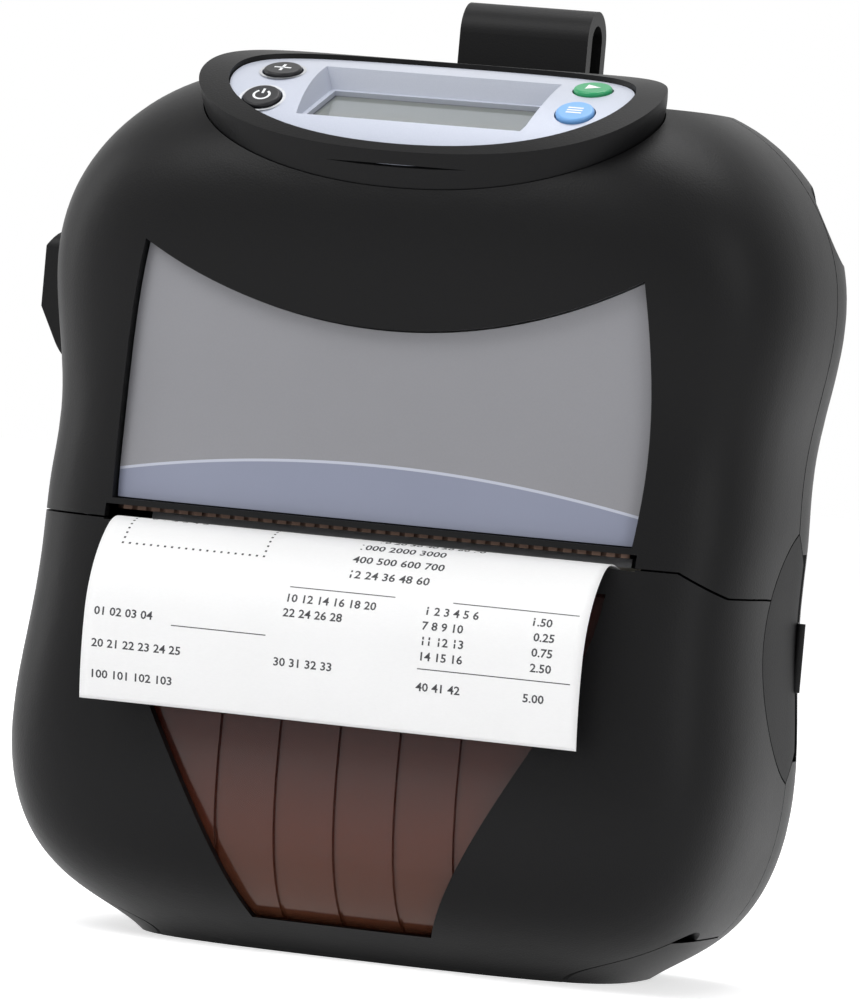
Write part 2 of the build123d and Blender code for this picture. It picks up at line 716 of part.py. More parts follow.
def make_display_panel():
    """Pale curved panel with the display well and four key holes."""
    plug = extrude(oval(COLLAR_FOOT_Z - 1, PANEL_HALF, PANEL_REACH), 60)
    skin = (panel_skin(0) - panel_skin(-PANEL_THICK)) & plug
    skin += display_well(WELL_WALL, -WELL_FLOOR, 12) & panel_skin(0) & plug
    skin -= display_mouth()
    skin -= display_well(-WELL_LIP, -2 * WELL_FLOOR, WELL_FLOOR)
    skin -= display_well(SEAT_GAP / 2, -6, -WELL_FLOOR)
    for place in key_places():
        skin -= place * Cylinder(KEY_R + KEY_GAP, 12)
    return skin


def make_display_glass():
    """Display glass seated under the well's floor."""
    return display_well(0, -WELL_FLOOR - GLASS_THICK, -WELL_FLOOR)


def make_display_board():
    """Circuit board under the glass."""
    top = -WELL_FLOOR - GLASS_THICK
    return display_well(0, top - BOARD_THICK, top)


def make_key_mat():
    """Two soft mats under the keys, with a raised border against the panel's underside."""
    reach = KEY_HEIGHT - KEY_PROUD + KEY_TRAVEL + 0.05
    inside = extrude(oval(COLLAR_FOOT_Z - 1, PANEL_HALF - LEDGE - SEAT_GAP, PANEL_REACH - LEDGE - SEAT_GAP), 60)
    side = block(DISPLAY_HALF + WELL_WALL + 2 * SEAT_GAP, BODY_WIDTH, -2 * FRONT_DEPTH, FRONT_DEPTH, 0, BODY_HEIGHT * 2)
    mat = (panel_skin(-PANEL_THICK - 0.05) - panel_skin(-reach - MAT_THICK)) & inside
    mat &= both_sides(side)
    for place in key_places():
        mat -= place * Cylinder(KEY_R + 2 * KEY_GAP, 2 * reach)
    return mat


def make_main_board():
    """Main circuit board on the front of the frame's back wall."""
    board = block(
        -FRAME_HALF + 6, FRAME_HALF - FRAME_THICK - MOTOR_LENGTH - 4,
        FRAME_BACK_Y - BOARD_THICK, FRAME_BACK_Y,
        FRAME_TOP - BOARD_HEIGHT - 1, FRAME_TOP - 1,
    )
    return board


def make_key(place):
    """Round domed key with a retaining flange."""
    cap = Cylinder(KEY_R, KEY_HEIGHT, align=(Align.CENTER, Align.CENTER, Align.MAX))
    cap = Pos(0, 0, KEY_PROUD) * fillet(cap.edges().group_by(Axis.Z)[-1], 0.6)
    return place * cap


def make_nameplate():
    """Curved plate in the front recess."""
    film = form(PLATE_RECESS - PLATE_THICK) - form(PLATE_RECESS)
    return film & front_prism(plate_outline(SEAT_GAP).edges(), -2 * FRONT_DEPTH, 0)


def nip():
    """Frame at the print line: Y runs back along the paper, Z points away from the platen."""
    lean = math.radians(NIP_ANGLE)
    y = PLATEN_Y + PLATEN_R * math.sin(lean)
    z = PLATEN_Z + PLATEN_R * math.cos(lean)
    return Pos(0, y, z) * Rot(-NIP_ANGLE, 0, 0)


def head_lift():
    """Height of the head's face over the platen: paper with a small gap on both sides."""
    return 2 * SEAT_GAP + PAPER_THICK


def make_print_head():
    """Ceramic head plate with its raised print line."""
    lift = head_lift()
    plate = nip() * Pos(0, 2.5, lift + HEAD_THICK / 2) * Box(2 * HEAD_HALF, HEAD_DEPTH, HEAD_THICK)
    return plate


def make_heat_sink():
    """Finned aluminium block behind the head plate."""
    lift = head_lift() + HEAD_THICK
    base = nip() * Pos(0, 2.5, lift + 1) * Box(2 * HEAD_HALF - 4, HEAD_DEPTH, 2)
    pitch = (HEAD_DEPTH - 1.5) / (FIN_COUNT - 1)
    for step in range(FIN_COUNT):
        y = 2.5 - (HEAD_DEPTH - 1.5) / 2 + step * pitch
        base += nip() * Pos(0, y, lift + SINK_THICK / 2) * Box(2 * HEAD_HALF - 4, 1.5, SINK_THICK)
    return base


def make_tear_bar():
    """Toothed metal strip over the paper slot."""
    y_back = TEAR_FRONT_Y + 8.0
    y_front = TEAR_FRONT_Y
    z = SLOT_TOP - TEAR_THICK - 0.05
    count = int(2 * (SLOT_HALF - 1) / TOOTH_PITCH)
    start = -count * TOOTH_PITCH / 2
    points = [(start, y_back)]
    for step in range(count):
        points.append((start + step * TOOTH_PITCH, y_front + TOOTH_DEPTH))
        points.append((start + (step + 0.5) * TOOTH_PITCH, y_front))
    points.append((-start, y_front + TOOTH_DEPTH))
    points.append((-start, y_back))
    face = make_face(Polyline(*points, close=True))
    return (Pos(0, 0, z) * extrude(face, TEAR_THICK)) & form(0.6)


def make_paper_strip():
    """Printed paper from the nip, out of the slot and curling down in front of the cover."""
    lean = math.radians(NIP_ANGLE)
    away = PLATEN_R + SEAT_GAP
    start_y = PLATEN_Y + away * math.sin(lean)
    start_z = PLATEN_Z + away * math.cos(lean)
    exit_z = start_z + (start_y - PAPER_EXIT_Y) * math.tan(lean)
    straight = Line((start_y, start_z), (PAPER_EXIT_Y, exit_z))
    curl = JernArc(straight @ 1, straight % 1, PAPER_EXIT_R, PAPER_EXIT_TURN)
    fall = JernArc(curl @ 1, curl % 1, PAPER_FALL_R, PAPER_FALL_TURN)
    hang = JernArc(fall @ 1, fall % 1, PAPER_HANG_R, PAPER_HANG_TURN)
    middle = Wire([straight.edge(), curl.edge(), fall.edge(), hang.edge()])
    face = make_face(offset(middle, PAPER_THICK, side=Side.RIGHT).edges())
    plane = Plane(origin=(-PAPER_WIDTH / 2, 0, 0), x_dir=(0, 1, 0), z_dir=(1, 0, 0))
    return extrude(plane * face, PAPER_WIDTH)


def make_platen():
    """Rubber roller round the shaft."""
    tube = rod_x(-PLATEN_HALF, PLATEN_HALF, PLATEN_Y, PLATEN_Z, PLATEN_R)
    return tube - rod_x(-PLATEN_HALF, PLATEN_HALF, PLATEN_Y, PLATEN_Z, PLATEN_SHAFT_R)


def make_platen_shaft():
    """Steel shaft that runs in the bushes and carries the roller and its gear."""
    return rod_x(-PLATEN_HALF - 6, GEAR_X + GEAR_WIDTH, PLATEN_Y, PLATEN_Z, PLATEN_SHAFT_R)


def make_platen_bushes():
    """Two bushes in the cover's arms."""
    start = PLATEN_HALF + 1
    bush = rod_x(start, start + 3.6, PLATEN_Y, PLATEN_Z, bush_radius())
    bush -= rod_x(start, start + 3.6, PLATEN_Y, PLATEN_Z, PLATEN_SHAFT_R + RUN_GAP)
    return both_sides(bush)


def gear(teeth, bore):
    """Spur gear about X with straight-flanked teeth, its first tooth pointing along +Y."""
    pitch_r = GEAR_MODULE * teeth / 2
    root_r = pitch_r - 1.1 * GEAR_MODULE
    tip_r = pitch_r + 0.8 * GEAR_MODULE
    step = 2 * math.pi / teeth
    half_root = math.pi * GEAR_MODULE / 2 * 0.72 / root_r
    half_tip = math.pi * GEAR_MODULE / 2 * 0.30 / tip_r
    points = []
    for tooth in range(teeth):
        middle = tooth * step
        for radius, angle in (
            (root_r, middle - half_root),
            (tip_r, middle - half_tip),
            (tip_r, middle + half_tip),
            (root_r, middle + half_root),
        ):
            points.append((radius * math.cos(angle), radius * math.sin(angle)))
    plane = Plane(origin=(0, 0, 0), x_dir=(0, 1, 0), z_dir=(1, 0, 0))
    body = extrude(plane * make_face(Polyline(*points, close=True)), GEAR_WIDTH)
    return body - rod_x(-1, GEAR_WIDTH + 1, 0, 0, bore)


def idler_centre():
    """Centre of the idler gear in (y, z)."""
    reach = GEAR_MODULE * (PLATEN_TEETH + IDLER_TEETH) / 2 + GEAR_PLAY
    lean = math.radians(TRAIN_ANGLE)
    return PLATEN_Y + reach * math.cos(lean), PLATEN_Z + reach * math.sin(lean)


def motor_centre():
    """Centre of the motor shaft in (y, z)."""
    y, z = idler_centre()
    reach = GEAR_MODULE * (MOTOR_TEETH + IDLER_TEETH) / 2 + GEAR_PLAY
    lean = math.radians(MOTOR_ANGLE)
    return y + reach * math.cos(lean), z + reach * math.sin(lean)


def meshing_turn(teeth, angle, partner_teeth, partner_turn):
    """Turn of a gear, in degrees, that sets a gap of it against a tooth of its partner.

    angle points from the partner to this gear; partner_turn is the partner's own turn.
    """
    partner_step = 360 / partner_teeth
    phase = ((angle - partner_turn) / partner_step) % 1.0
    step = 360 / teeth
    return angle + 180 + (phase + 0.5) * step


def make_gears():
    """Platen gear, idler and motor pinion, in mesh."""
    platen_turn = TRAIN_ANGLE
    platen_gear = Pos(GEAR_X, PLATEN_Y, PLATEN_Z) * Rot(platen_turn, 0, 0) * gear(PLATEN_TEETH, PLATEN_SHAFT_R)
    idler_turn = meshing_turn(IDLER_TEETH, TRAIN_ANGLE, PLATEN_TEETH, platen_turn)
    iy, iz = idler_centre()
    idler = Pos(GEAR_X, iy, iz) * Rot(idler_turn, 0, 0) * gear(IDLER_TEETH, STUD_R + RUN_GAP)
    motor_turn = meshing_turn(MOTOR_TEETH, MOTOR_ANGLE, IDLER_TEETH, idler_turn)
    my, mz = motor_centre()
    pinion = Pos(GEAR_X, my, mz) * Rot(motor_turn, 0, 0) * gear(MOTOR_TEETH, STUD_R)
    return platen_gear, idler, pinion


def make_motor():
    """Stepper motor fixed to the inside of the right cheek."""
    y, z = motor_centre()
    end = FRAME_HALF - FRAME_THICK
    can = rod_x(end - MOTOR_LENGTH, end, y, z, MOTOR_R)
    return can - rod_x(end - MOTOR_LENGTH + 3, end, y, z, STUD_R + RUN_GAP)


def make_motor_shaft():
    """Motor shaft that carries the pinion."""
    y, z = motor_centre()
    end = FRAME_HALF - FRAME_THICK
    return rod_x(end - MOTOR_LENGTH + 3, GEAR_X + GEAR_WIDTH, y, z, STUD_R)


def make_mechanism_frame():
    """Moulded frame with a back wall, two cheeks and a bar that carries the head."""
    back = block(
        -FRAME_HALF, FRAME_HALF,
        FRAME_BACK_Y, FRAME_BACK_Y + FRAME_THICK,
        FRAME_LOW, FRAME_TOP,
    )
    cheek = side_profile(FRAME_HALF - FRAME_THICK, FRAME_HALF, [
        (FRAME_BACK_Y + FRAME_THICK, CHEEK_LOW),
        (FRAME_BACK_Y + FRAME_THICK, FRAME_TOP),
        (2.0, FRAME_TOP),
        (PLATEN_Y - 1, PLATEN_Z + 30),
        (PLATEN_Y - 1, PLATEN_Z + 12),
        (PLATEN_Y + 8, PLATEN_Z + 9),
        (PLATEN_Y + 10, CHEEK_LOW),
    ])
    frame = back + both_sides(cheek)
    bar = nip() * Pos(0, 2.5, head_lift() + HEAD_THICK + SINK_THICK + 1.5) * Box(2 * FRAME_HALF - 1, HEAD_DEPTH, 3)
    frame += bar
    y, z = motor_centre()
    frame -= rod_x(0, BODY_WIDTH, y, z, GEAR_MODULE * MOTOR_TEETH / 2 + 2)
    iy, iz = idler_centre()
    stud = rod_x(FRAME_HALF - 1, GEAR_X + GEAR_WIDTH, iy, iz, STUD_R)
    frame += stud
    frame -= rod_x(-BODY_WIDTH, BODY_WIDTH, LATCH_BAR_Y, LATCH_BAR_Z, LATCH_BAR_R + RUN_GAP)
    return frame & form(PLATE_RECESS + WALL + SEAT_GAP)


def make_latch_bar():
    """Cross bar with a hook at each end that comes up to the cover's catch pins."""
    bar = rod_x(-HOOK_X - HOOK_THICK, HOOK_X + HOOK_THICK, LATCH_BAR_Y, LATCH_BAR_Z, LATCH_BAR_R)
    pin_low = CATCH_PIN_Z - CATCH_PIN_R
    hook = side_profile(HOOK_X, HOOK_X + HOOK_THICK, [
        (LATCH_BAR_Y + 3, LATCH_BAR_Z - 2.5),
        (LATCH_BAR_Y + 3, LATCH_BAR_Z + 2.5),
        (LATCH_BAR_Y - 3, LATCH_BAR_Z + 2.5),
        (CATCH_PIN_Y + 3, pin_low - 1.6),
        (CATCH_PIN_Y - CATCH_PIN_R - SEAT_GAP, pin_low - 1.6),
        (CATCH_PIN_Y - CATCH_PIN_R - SEAT_GAP, pin_low - SEAT_GAP),
        (CATCH_PIN_Y - CATCH_PIN_R - 3, pin_low - SEAT_GAP - 0.6),
        (CATCH_PIN_Y - CATCH_PIN_R - 4, pin_low - 5),
    ])
    return bar + both_sides(hook)


def make_roll_core():
    """Cardboard core of the media roll."""
    half = PAPER_WIDTH / 2
    core = rod_x(-half, half, ROLL_Y, ROLL_Z, CORE_OUT_R)
    return core - rod_x(-half, half, ROLL_Y, ROLL_Z, CORE_IN_R)


def make_media_roll():
    """Paper wound on the core."""
    half = PAPER_WIDTH / 2
    roll = rod_x(-half, half, ROLL_Y, ROLL_Z, ROLL_R)
    return roll - rod_x(-half, half, ROLL_Y, ROLL_Z, CORE_OUT_R)


def make_media_support(side):
    """Disc with a hub that enters the core, an arm to the frame and a rack."""
    inner_x = PAPER_WIDTH / 2 + SEAT_GAP
    disc = rod_x(inner_x, inner_x + SUPPORT_THICK, ROLL_Y, ROLL_Z, SUPPORT_R)
    disc += rod_x(inner_x - SUPPORT_HUB, inner_x, ROLL_Y, ROLL_Z, CORE_IN_R - SEAT_GAP)
    rack_z = ROLL_Z + side * 8
    arm = block(inner_x, inner_x + SUPPORT_THICK, ROLL_Y, FRAME_BACK_Y - SEAT_GAP, rack_z - 6, rack_z + 6)
    disc += arm
    if side < 0:
        return mirror(disc, Plane.YZ)
    return disc


def make_battery():
    """Battery pack whose back is part of the printer's back."""
    pack = block(-BATTERY_HALF, BATTERY_HALF, BATTERY_FRONT_Y, BACK_DEPTH, BATTERY_LOW, BATTERY_HIGH)
    return fillet(pack.edges().filter_by(Axis.Y), 3) & form(0)


def contact_blades(grow):
    """Row of contact blades through the front wall of the battery bay, grown by grow."""
    blades = []
    for step in range(CONTACT_COUNT):
        x = (step - (CONTACT_COUNT - 1) / 2) * CONTACT_PITCH
        blades.append(block(
            x - CONTACT_HALF - grow, x + CONTACT_HALF + grow,
            BATTERY_FRONT_Y - BAY_GAP - BAY_WALL - 0.8, BATTERY_FRONT_Y - BAY_GAP / 4,
            CONTACT_Z - 4 - grow, CONTACT_Z + 4 + grow,
        ))
    return blades


def make_battery_contacts():
    """Contact blades that touch the battery's front."""
    return Compound(contact_blades(0))


def make_battery_catch():
    """Sliding catch that holds the top of the battery."""
    z = BATTERY_HIGH + 2 * BAY_GAP
    catch = block(-CATCH_HALF, CATCH_HALF, BATTERY_FRONT_Y + 5 + BAY_GAP, BACK_DEPTH, z, z + CATCH_HEIGHT)
    return catch


def make_belt_clip():
    """Spring steel clip: a plate against the back, a bend at the top and a tongue behind it."""
    inner = BACK_DEPTH + CLIP_SHIM
    low = CLIP_LOW_Z
    bend_r = (2 * CLIP_THICK + CLIP_GAP) / 2
    top = CLIP_TOP_Z - bend_r
    plate = block(-CLIP_WIDTH / 2, CLIP_WIDTH / 2, inner, inner + CLIP_THICK, CLIP_PIVOT_Z - 14, top)
    tongue_y = inner + CLIP_THICK + CLIP_GAP
    tongue = block(-CLIP_WIDTH / 2, CLIP_WIDTH / 2, tongue_y, tongue_y + CLIP_THICK, low, top)
    bend = rod_x(-CLIP_WIDTH / 2, CLIP_WIDTH / 2, inner + bend_r, top, bend_r)
    bend -= rod_x(-CLIP_WIDTH / 2, CLIP_WIDTH / 2, inner + bend_r, top, bend_r - CLIP_THICK)
    bend &= block(-CLIP_WIDTH, CLIP_WIDTH, inner - 1, inner + 3 * bend_r, top, top + 2 * bend_r)
    clip = plate + tongue + bend
    clip = Pos(CLIP_X, 0, 0) * clip
    clip -= rod_y(inner - 1, inner + CLIP_THICK + 1, CLIP_X, CLIP_PIVOT_Z, CLIP_SCREW_R + RUN_GAP)
    return clip


def make_clip_screw():
    """Screw that the clip swivels on."""
    inner = BACK_DEPTH + CLIP_SHIM
    stem = rod_y(BACK_DEPTH - 10, inner + CLIP_THICK + 0.1, CLIP_X, CLIP_PIVOT_Z, CLIP_SCREW_R)
    head = rod_y(inner + CLIP_THICK + 0.1, inner + CLIP_THICK + 2.6, CLIP_X, CLIP_PIVOT_Z, CLIP_SCREW_R + 2.5)
    return stem + head


def make_clip_washer():
    """Washer between the clip and the back."""
    washer = rod_y(BACK_DEPTH, BACK_DEPTH + CLIP_SHIM - 0.1, CLIP_X, CLIP_PIVOT_Z, CLIP_BOSS_R)
    return washer - rod_y(BACK_DEPTH - 1, BACK_DEPTH + 5, CLIP_X, CLIP_PIVOT_Z, CLIP_SCREW_R + RUN_GAP)


def make_hinge_pins():
    """Pins at both ends of the cover's hinge barrel."""
    return both_sides(rod_x(BARREL_HALF - 8, BARREL_HALF + HINGE_BOSS, HINGE_Y, HINGE_Z, HINGE_PIN_R))


def make_screws():
    """Housing screws sunk in the back."""
    group = []
    for x, z in SCREW_PLACES:
        shank = rod_y(BACK_DEPTH - SCREW_DEPTH, BACK_DEPTH - 3, x, z, SCREW_R - 0.2)
        group.append(shank)
    return Compound(group)


def build():
    """Make every piece and return it by name."""
    outer = form(0)
    inner = form(WALL)
    platen_gear, idler, pinion = make_gears()
    places = key_places()
    return {
        "front_housing": make_front_housing(outer, inner),
        "rear_housing": make_rear_housing(outer, inner),
        "media_cover": make_media_cover(outer, inner),
        "media_window": make_media_window(outer),
        "display_collar": make_display_collar(),
        "display_panel": make_display_panel(),
        "display_glass": make_display_glass(),
        "display_board": make_display_board(),
        "key_feed": make_key(places[0]),
        "key_power": make_key(places[1]),
        "key_select": make_key(places[2]),
        "key_scroll": make_key(places[3]),
        "key_mat": make_key_mat(),
        "main_board": make_main_board(),
        "dc_jack": make_dc_jack(),
        "data_port": make_data_port(),
        "nameplate": make_nameplate(),
        "print_head": make_print_head(),
        "heat_sink": make_heat_sink(),
        "tear_bar": make_tear_bar(),
        "paper_strip": make_paper_strip(),
        "platen_roller": make_platen(),
        "platen_shaft": make_platen_shaft(),
        "platen_bushes": make_platen_bushes(),
        "platen_gear": platen_gear,
        "idler_gear": idler,
        "motor_pinion": pinion,
        "stepper_motor": make_motor(),
        "motor_shaft": make_motor_shaft(),
        "mechanism_frame": make_mechanism_frame(),
        "latch_bar": make_latch_bar(),
        "latch_button": make_latch_button(),
        "port_door": make_port_door(),
        "roll_core": make_roll_core(),
        "media_roll": make_media_roll(),
        "media_support_right": make_media_support(1),
        "media_support_left": make_media_support(-1),
        "battery_pack": make_battery(),
        "battery_contacts": make_battery_contacts(),
        "battery_catch": make_battery_catch(),
        "belt_clip": make_belt_clip(),
        "clip_screw": make_clip_screw(),
        "clip_washer": make_clip_washer(),
        "hinge_pins": make_hinge_pins(),
        "housing_screws": make_screws(),
    }


os.makedirs("parts", exist_ok=True)
for name, solid in build().items():
    export_step(solid, "parts/" + name + ".step")
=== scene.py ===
import json
import math

import bpy
from mathutils import Matrix, Vector


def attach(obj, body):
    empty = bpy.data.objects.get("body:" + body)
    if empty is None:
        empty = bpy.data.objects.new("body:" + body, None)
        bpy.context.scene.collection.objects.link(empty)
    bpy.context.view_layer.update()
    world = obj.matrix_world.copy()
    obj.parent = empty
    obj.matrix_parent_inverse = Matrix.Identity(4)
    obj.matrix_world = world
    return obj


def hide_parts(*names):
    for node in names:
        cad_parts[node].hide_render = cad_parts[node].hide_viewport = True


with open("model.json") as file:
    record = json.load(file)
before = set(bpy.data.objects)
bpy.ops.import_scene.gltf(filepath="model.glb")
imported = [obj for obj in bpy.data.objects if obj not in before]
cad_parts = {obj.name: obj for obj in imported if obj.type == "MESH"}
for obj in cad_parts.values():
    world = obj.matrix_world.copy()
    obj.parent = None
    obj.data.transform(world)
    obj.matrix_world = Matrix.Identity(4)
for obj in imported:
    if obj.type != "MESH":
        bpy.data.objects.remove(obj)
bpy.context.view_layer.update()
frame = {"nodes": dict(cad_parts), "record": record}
MM = 0.001

# Values shared with the part's source, in millimetres
PAPER_HALF = 52.0
NIP_ANGLE = 12.0
PLATEN = (-14.5, 75.0)
PLATEN_REACH = 5.9
NIP = (
    PLATEN[0] + PLATEN_REACH * math.sin(math.radians(NIP_ANGLE)),
    PLATEN[1] + PLATEN_REACH * math.cos(math.radians(NIP_ANGLE)),
)
PAPER_EXIT_Y = -31.5
PAPER_CURLS = ((9.0, 50.0), (23.0, 50.0), (70.0, 14.0))
PANEL_ARC = (7.6, 125.3, 56.0)
KEY_X = 32.5
KEY_R = 3.9
KEY_PROUD = 0.8
KEY_ANGLES = {"key_feed": 22.0, "key_power": 35.0, "key_select": 19.2, "key_scroll": 31.5}
BACK_Y = 38.5
ROLL_CENTRE = (-4.4, 42.0)
GLASS_MID_Y = -17.75
GLASS_HALF = (22.0, 8.8)
PLATE_BOW_Z = 94.6
PLATE_BOW_RISE = 5.2
PLATE_HALF = 54.0
WINDOW_TOP_Z = 60.0
SCREW_SINK = 4.4
BOARD_FRONT_Y = 16.4
SCREW_PLACES = ((56.0, 112.0), (-56.0, 112.0), (55.0, 32.0), (-55.0, 32.0))


class Link:
    """Output of a node in a tree; sums written on it add Math nodes."""

    def __init__(self, tree, socket):
        self.tree = tree
        self.socket = socket

    def maths(self, operation, first, second=0.0):
        return self.tree.add("ShaderNodeMath", {"operation": operation}, {0: first, 1: second})

    def __add__(self, other):
        return self.maths("ADD", self, other)

    def __radd__(self, other):
        return self.maths("ADD", other, self)

    def __sub__(self, other):
        return self.maths("SUBTRACT", self, other)

    def __rsub__(self, other):
        return self.maths("SUBTRACT", other, self)

    def __mul__(self, other):
        return self.maths("MULTIPLY", self, other)

    def __rmul__(self, other):
        return self.maths("MULTIPLY", other, self)

    def __truediv__(self, other):
        return self.maths("DIVIDE", self, other)

    def __pow__(self, other):
        return self.maths("POWER", self, other)

    def __gt__(self, other):
        return self.maths("GREATER_THAN", self, other)

    def __lt__(self, other):
        return self.maths("LESS_THAN", self, other)

    def __abs__(self):
        return self.maths("ABSOLUTE", self)


class Tree:
    """A node tree with one method that adds any node."""

    def __init__(self, nodes):
        self.nodes = nodes

    def add(self, kind, settings=None, inputs=None, output=0):
        node = self.nodes.nodes.new(kind)
        for name, value in (settings or {}).items():
            if name == "stops":
                self.set_stops(node.color_ramp, value)
            else:
                setattr(node, name, value)
        for name, value in (inputs or {}).items():
            self.feed(node.inputs[name], value)
        return Link(self, node.outputs[output])

    def feed(self, socket, value):
        if isinstance(value, Link):
            self.nodes.links.new(value.socket, socket)
        else:
            socket.default_value = value

    @staticmethod
    def set_stops(ramp, stops):
        while len(ramp.elements) < len(stops):
            ramp.elements.new(1.0)
        for element, (place, colour) in zip(ramp.elements, stops):
            element.position = place
            element.color = colour


def srgb(red, green, blue):
    """Linear colour of an 8-bit one."""
    channels = []
    for value in (red, green, blue):
        share = value / 255
        channels.append(share / 12.92 if share <= 0.04045 else ((share + 0.055) / 1.055) ** 2.4)
    return (*channels, 1.0)


class Finish(Tree):
    """A surface finish: a material whose shader takes colour, roughness and bump from nodes."""

    def __init__(self, name, roughness=0.5, metallic=0.0, **sockets):
        self.material = bpy.data.materials.new(name)
        self.material.use_nodes = True
        super().__init__(self.material.node_tree)
        self.shader = self.nodes.nodes["Principled BSDF"]
        self.shader.inputs["Roughness"].default_value = roughness
        self.shader.inputs["Metallic"].default_value = metallic
        for socket, value in sockets.items():
            self.shader.inputs[socket.replace("_", " ")].default_value = value
        self.place = self.add("ShaderNodeTexCoord", output="Object")

    def axis(self, name):
        """One coordinate of the surface, in metres."""
        return self.add("ShaderNodeSeparateXYZ", {}, {"Vector": self.place}, name)

    def noise(self, size, detail=3.0, vector=None, spread=(1, 1, 1)):
        """Noise with features about size metres across, between 0 and 1."""
        scaled = self.add(
            "ShaderNodeVectorMath", {"operation": "MULTIPLY"}, {0: vector or self.place, 1: spread}
        )
        return self.add(
            "ShaderNodeTexNoise", {}, {"Vector": scaled, "Scale": 1 / size, "Detail": detail}
        )

    def grains(self, size):
        """Distance to the nearest of many small grains."""
        return self.add("ShaderNodeTexVoronoi", {}, {"Vector": self.place, "Scale": 1 / size})

    def blend(self, factor, first, second):
        return self.add(
            "ShaderNodeMix", {"data_type": "RGBA"}, {0: factor, 6: first, 7: second}, output=2
        )

    def ramp(self, factor, *stops):
        return self.add("ShaderNodeValToRGB", {"stops": stops}, {"Fac": factor})

    def colour(self, value):
        self.feed(self.shader.inputs["Base Color"], value)
        return self

    def rough(self, value):
        self.feed(self.shader.inputs["Roughness"], value)
        return self

    def bump(self, height, strength=0.3, depth=0.0001):
        bump = self.add(
            "ShaderNodeBump", {}, {"Strength": strength, "Distance": depth, "Height": height}, "Normal"
        )
        self.feed(self.shader.inputs["Normal"], bump)
        return self


def moulded(name, colour, roughness, grain=0.0005, relief=0.25, shift=0.12, **sockets):
    """Moulded plastic: spark grain, faint flow clouds and a little uneven gloss."""
    finish = Finish(name, roughness, **sockets)
    clouds = finish.noise(0.035, 4.0)
    speck = finish.noise(grain, 2.0)
    low = [channel * (1 - shift) for channel in colour[:3]] + [1.0]
    high = [min(1.0, channel * (1 + shift)) for channel in colour[:3]] + [1.0]
    finish.colour(finish.blend(clouds * 0.6 + speck * 0.4, low, high))
    finish.rough(roughness - 0.07 + clouds * 0.1 + speck * 0.06)
    finish.bump(finish.grains(grain) * 0.6 + speck * 0.4, relief, grain * 0.2)
    return finish.material


def cut_metal(name, colour, roughness, spread, **sockets):
    """Metal with fine machining lines along one direction."""
    finish = Finish(name, roughness, 1.0, **sockets)
    lines = finish.noise(0.0004, 3.0, spread=spread)
    clouds = finish.noise(0.01, 3.0)
    dark = [channel * 0.8 for channel in colour[:3]] + [1.0]
    finish.colour(finish.blend(clouds * 0.5 + lines * 0.5, dark, colour))
    finish.rough(roughness - 0.08 + lines * 0.16)
    finish.bump(lines, 0.2, 0.00003)
    return finish.material


def smoked_moulding_painted_shadow():
    """Smoked brown see-through plastic of the media window, with a painted shadow of the paper strip
    that makes it darker and redder towards its top.
    """
    finish = Finish(
        "smoked_window", 0.16, IOR=1.5, Transmission_Weight=0.6, Specular_IOR_Level=0.12
    )
    clouds = finish.noise(0.03, 3.0)
    height = finish.axis("Z") / MM
    # painted shadow: the colour runs from light brown at the bottom to dark red-brown at the top,
    # standing in for the paper strip's shadow on the window
    tint = finish.ramp(
        height / WINDOW_TOP_Z,
        (0.0, srgb(150, 98, 72)), (0.45, srgb(122, 64, 46)), (0.8, srgb(76, 24, 18)),
    )
    finish.colour(finish.blend(clouds * 0.3, tint, srgb(100, 58, 46)))
    finish.rough(0.1 + finish.noise(0.004, 4.0) * 0.14)
    finish.bump(finish.noise(0.006, 3.0), 0.08, 0.0002)
    return finish.material


def plate_film():
    """Satin grey nameplate film: a bluish band bounded by a bow, and a pale line round the edge."""
    finish = Finish("grey_plate", 0.42, Coat_Weight=0.15, Coat_Roughness=0.35)
    x = finish.axis("X") / MM
    z = finish.axis("Z") / MM
    bow = PLATE_BOW_Z + PLATE_BOW_RISE * (1 - (x / PLATE_HALF) ** 2.0)
    band = z < bow
    line = abs(z - bow) < 0.28
    weave = finish.noise(0.0004, 2.0)
    sheen = finish.noise(0.05, 3.0)
    grey = finish.blend(sheen * 0.6 + weave * 0.4, srgb(130, 130, 134), srgb(142, 142, 147))
    blue = finish.blend(sheen, srgb(126, 131, 151), srgb(138, 143, 162))
    shade = finish.blend(band, grey, blue)
    finish.colour(finish.blend(line, shade, srgb(186, 190, 204)))
    finish.rough(0.36 + weave * 0.14)
    finish.bump(weave, 0.12, 0.00005)
    return finish.material


def panel_film():
    """Pale silver film of the display panel, a touch bluer towards its front edge."""
    finish = Finish("pale_panel", 0.38, Metallic=0.25, Coat_Weight=0.2, Coat_Roughness=0.3)
    y = finish.axis("Y") / MM
    fleck = finish.noise(0.0003, 2.0)
    tone = finish.ramp((y + 34.0) / 37.0, (0.0, srgb(168, 174, 190)), (1.0, srgb(186, 191, 204)))
    finish.colour(finish.blend(fleck * 0.5, tone, srgb(198, 202, 212)))
    finish.rough(0.32 + fleck * 0.14)
    finish.bump(fleck, 0.15, 0.00004)
    return finish.material


def display_face():
    """Liquid crystal glass: grey-green field with faint rows of cells and a dark border."""
    finish = Finish("display_glass", 0.16, Coat_Weight=0.6, Coat_Roughness=0.05)
    x = finish.axis("X") / MM
    y = finish.axis("Y") / MM
    column = finish.add("ShaderNodeMath", {"operation": "FRACT"}, {0: x / 0.62})
    row = finish.add("ShaderNodeMath", {"operation": "FRACT"}, {0: y / 0.62})
    cells = (column > 0.14) * (row > 0.14)
    field = finish.blend(cells * 0.5, srgb(92, 96, 88), srgb(112, 117, 104))
    border = 1 - (abs(x) < GLASS_HALF[0]) * (abs(y - GLASS_MID_Y) < GLASS_HALF[1])
    finish.colour(finish.blend(border, field, srgb(26, 27, 28)))
    finish.rough(0.12 + finish.noise(0.01, 2.0) * 0.1)
    finish.bump(cells, 0.05, 0.00002)
    return finish.material


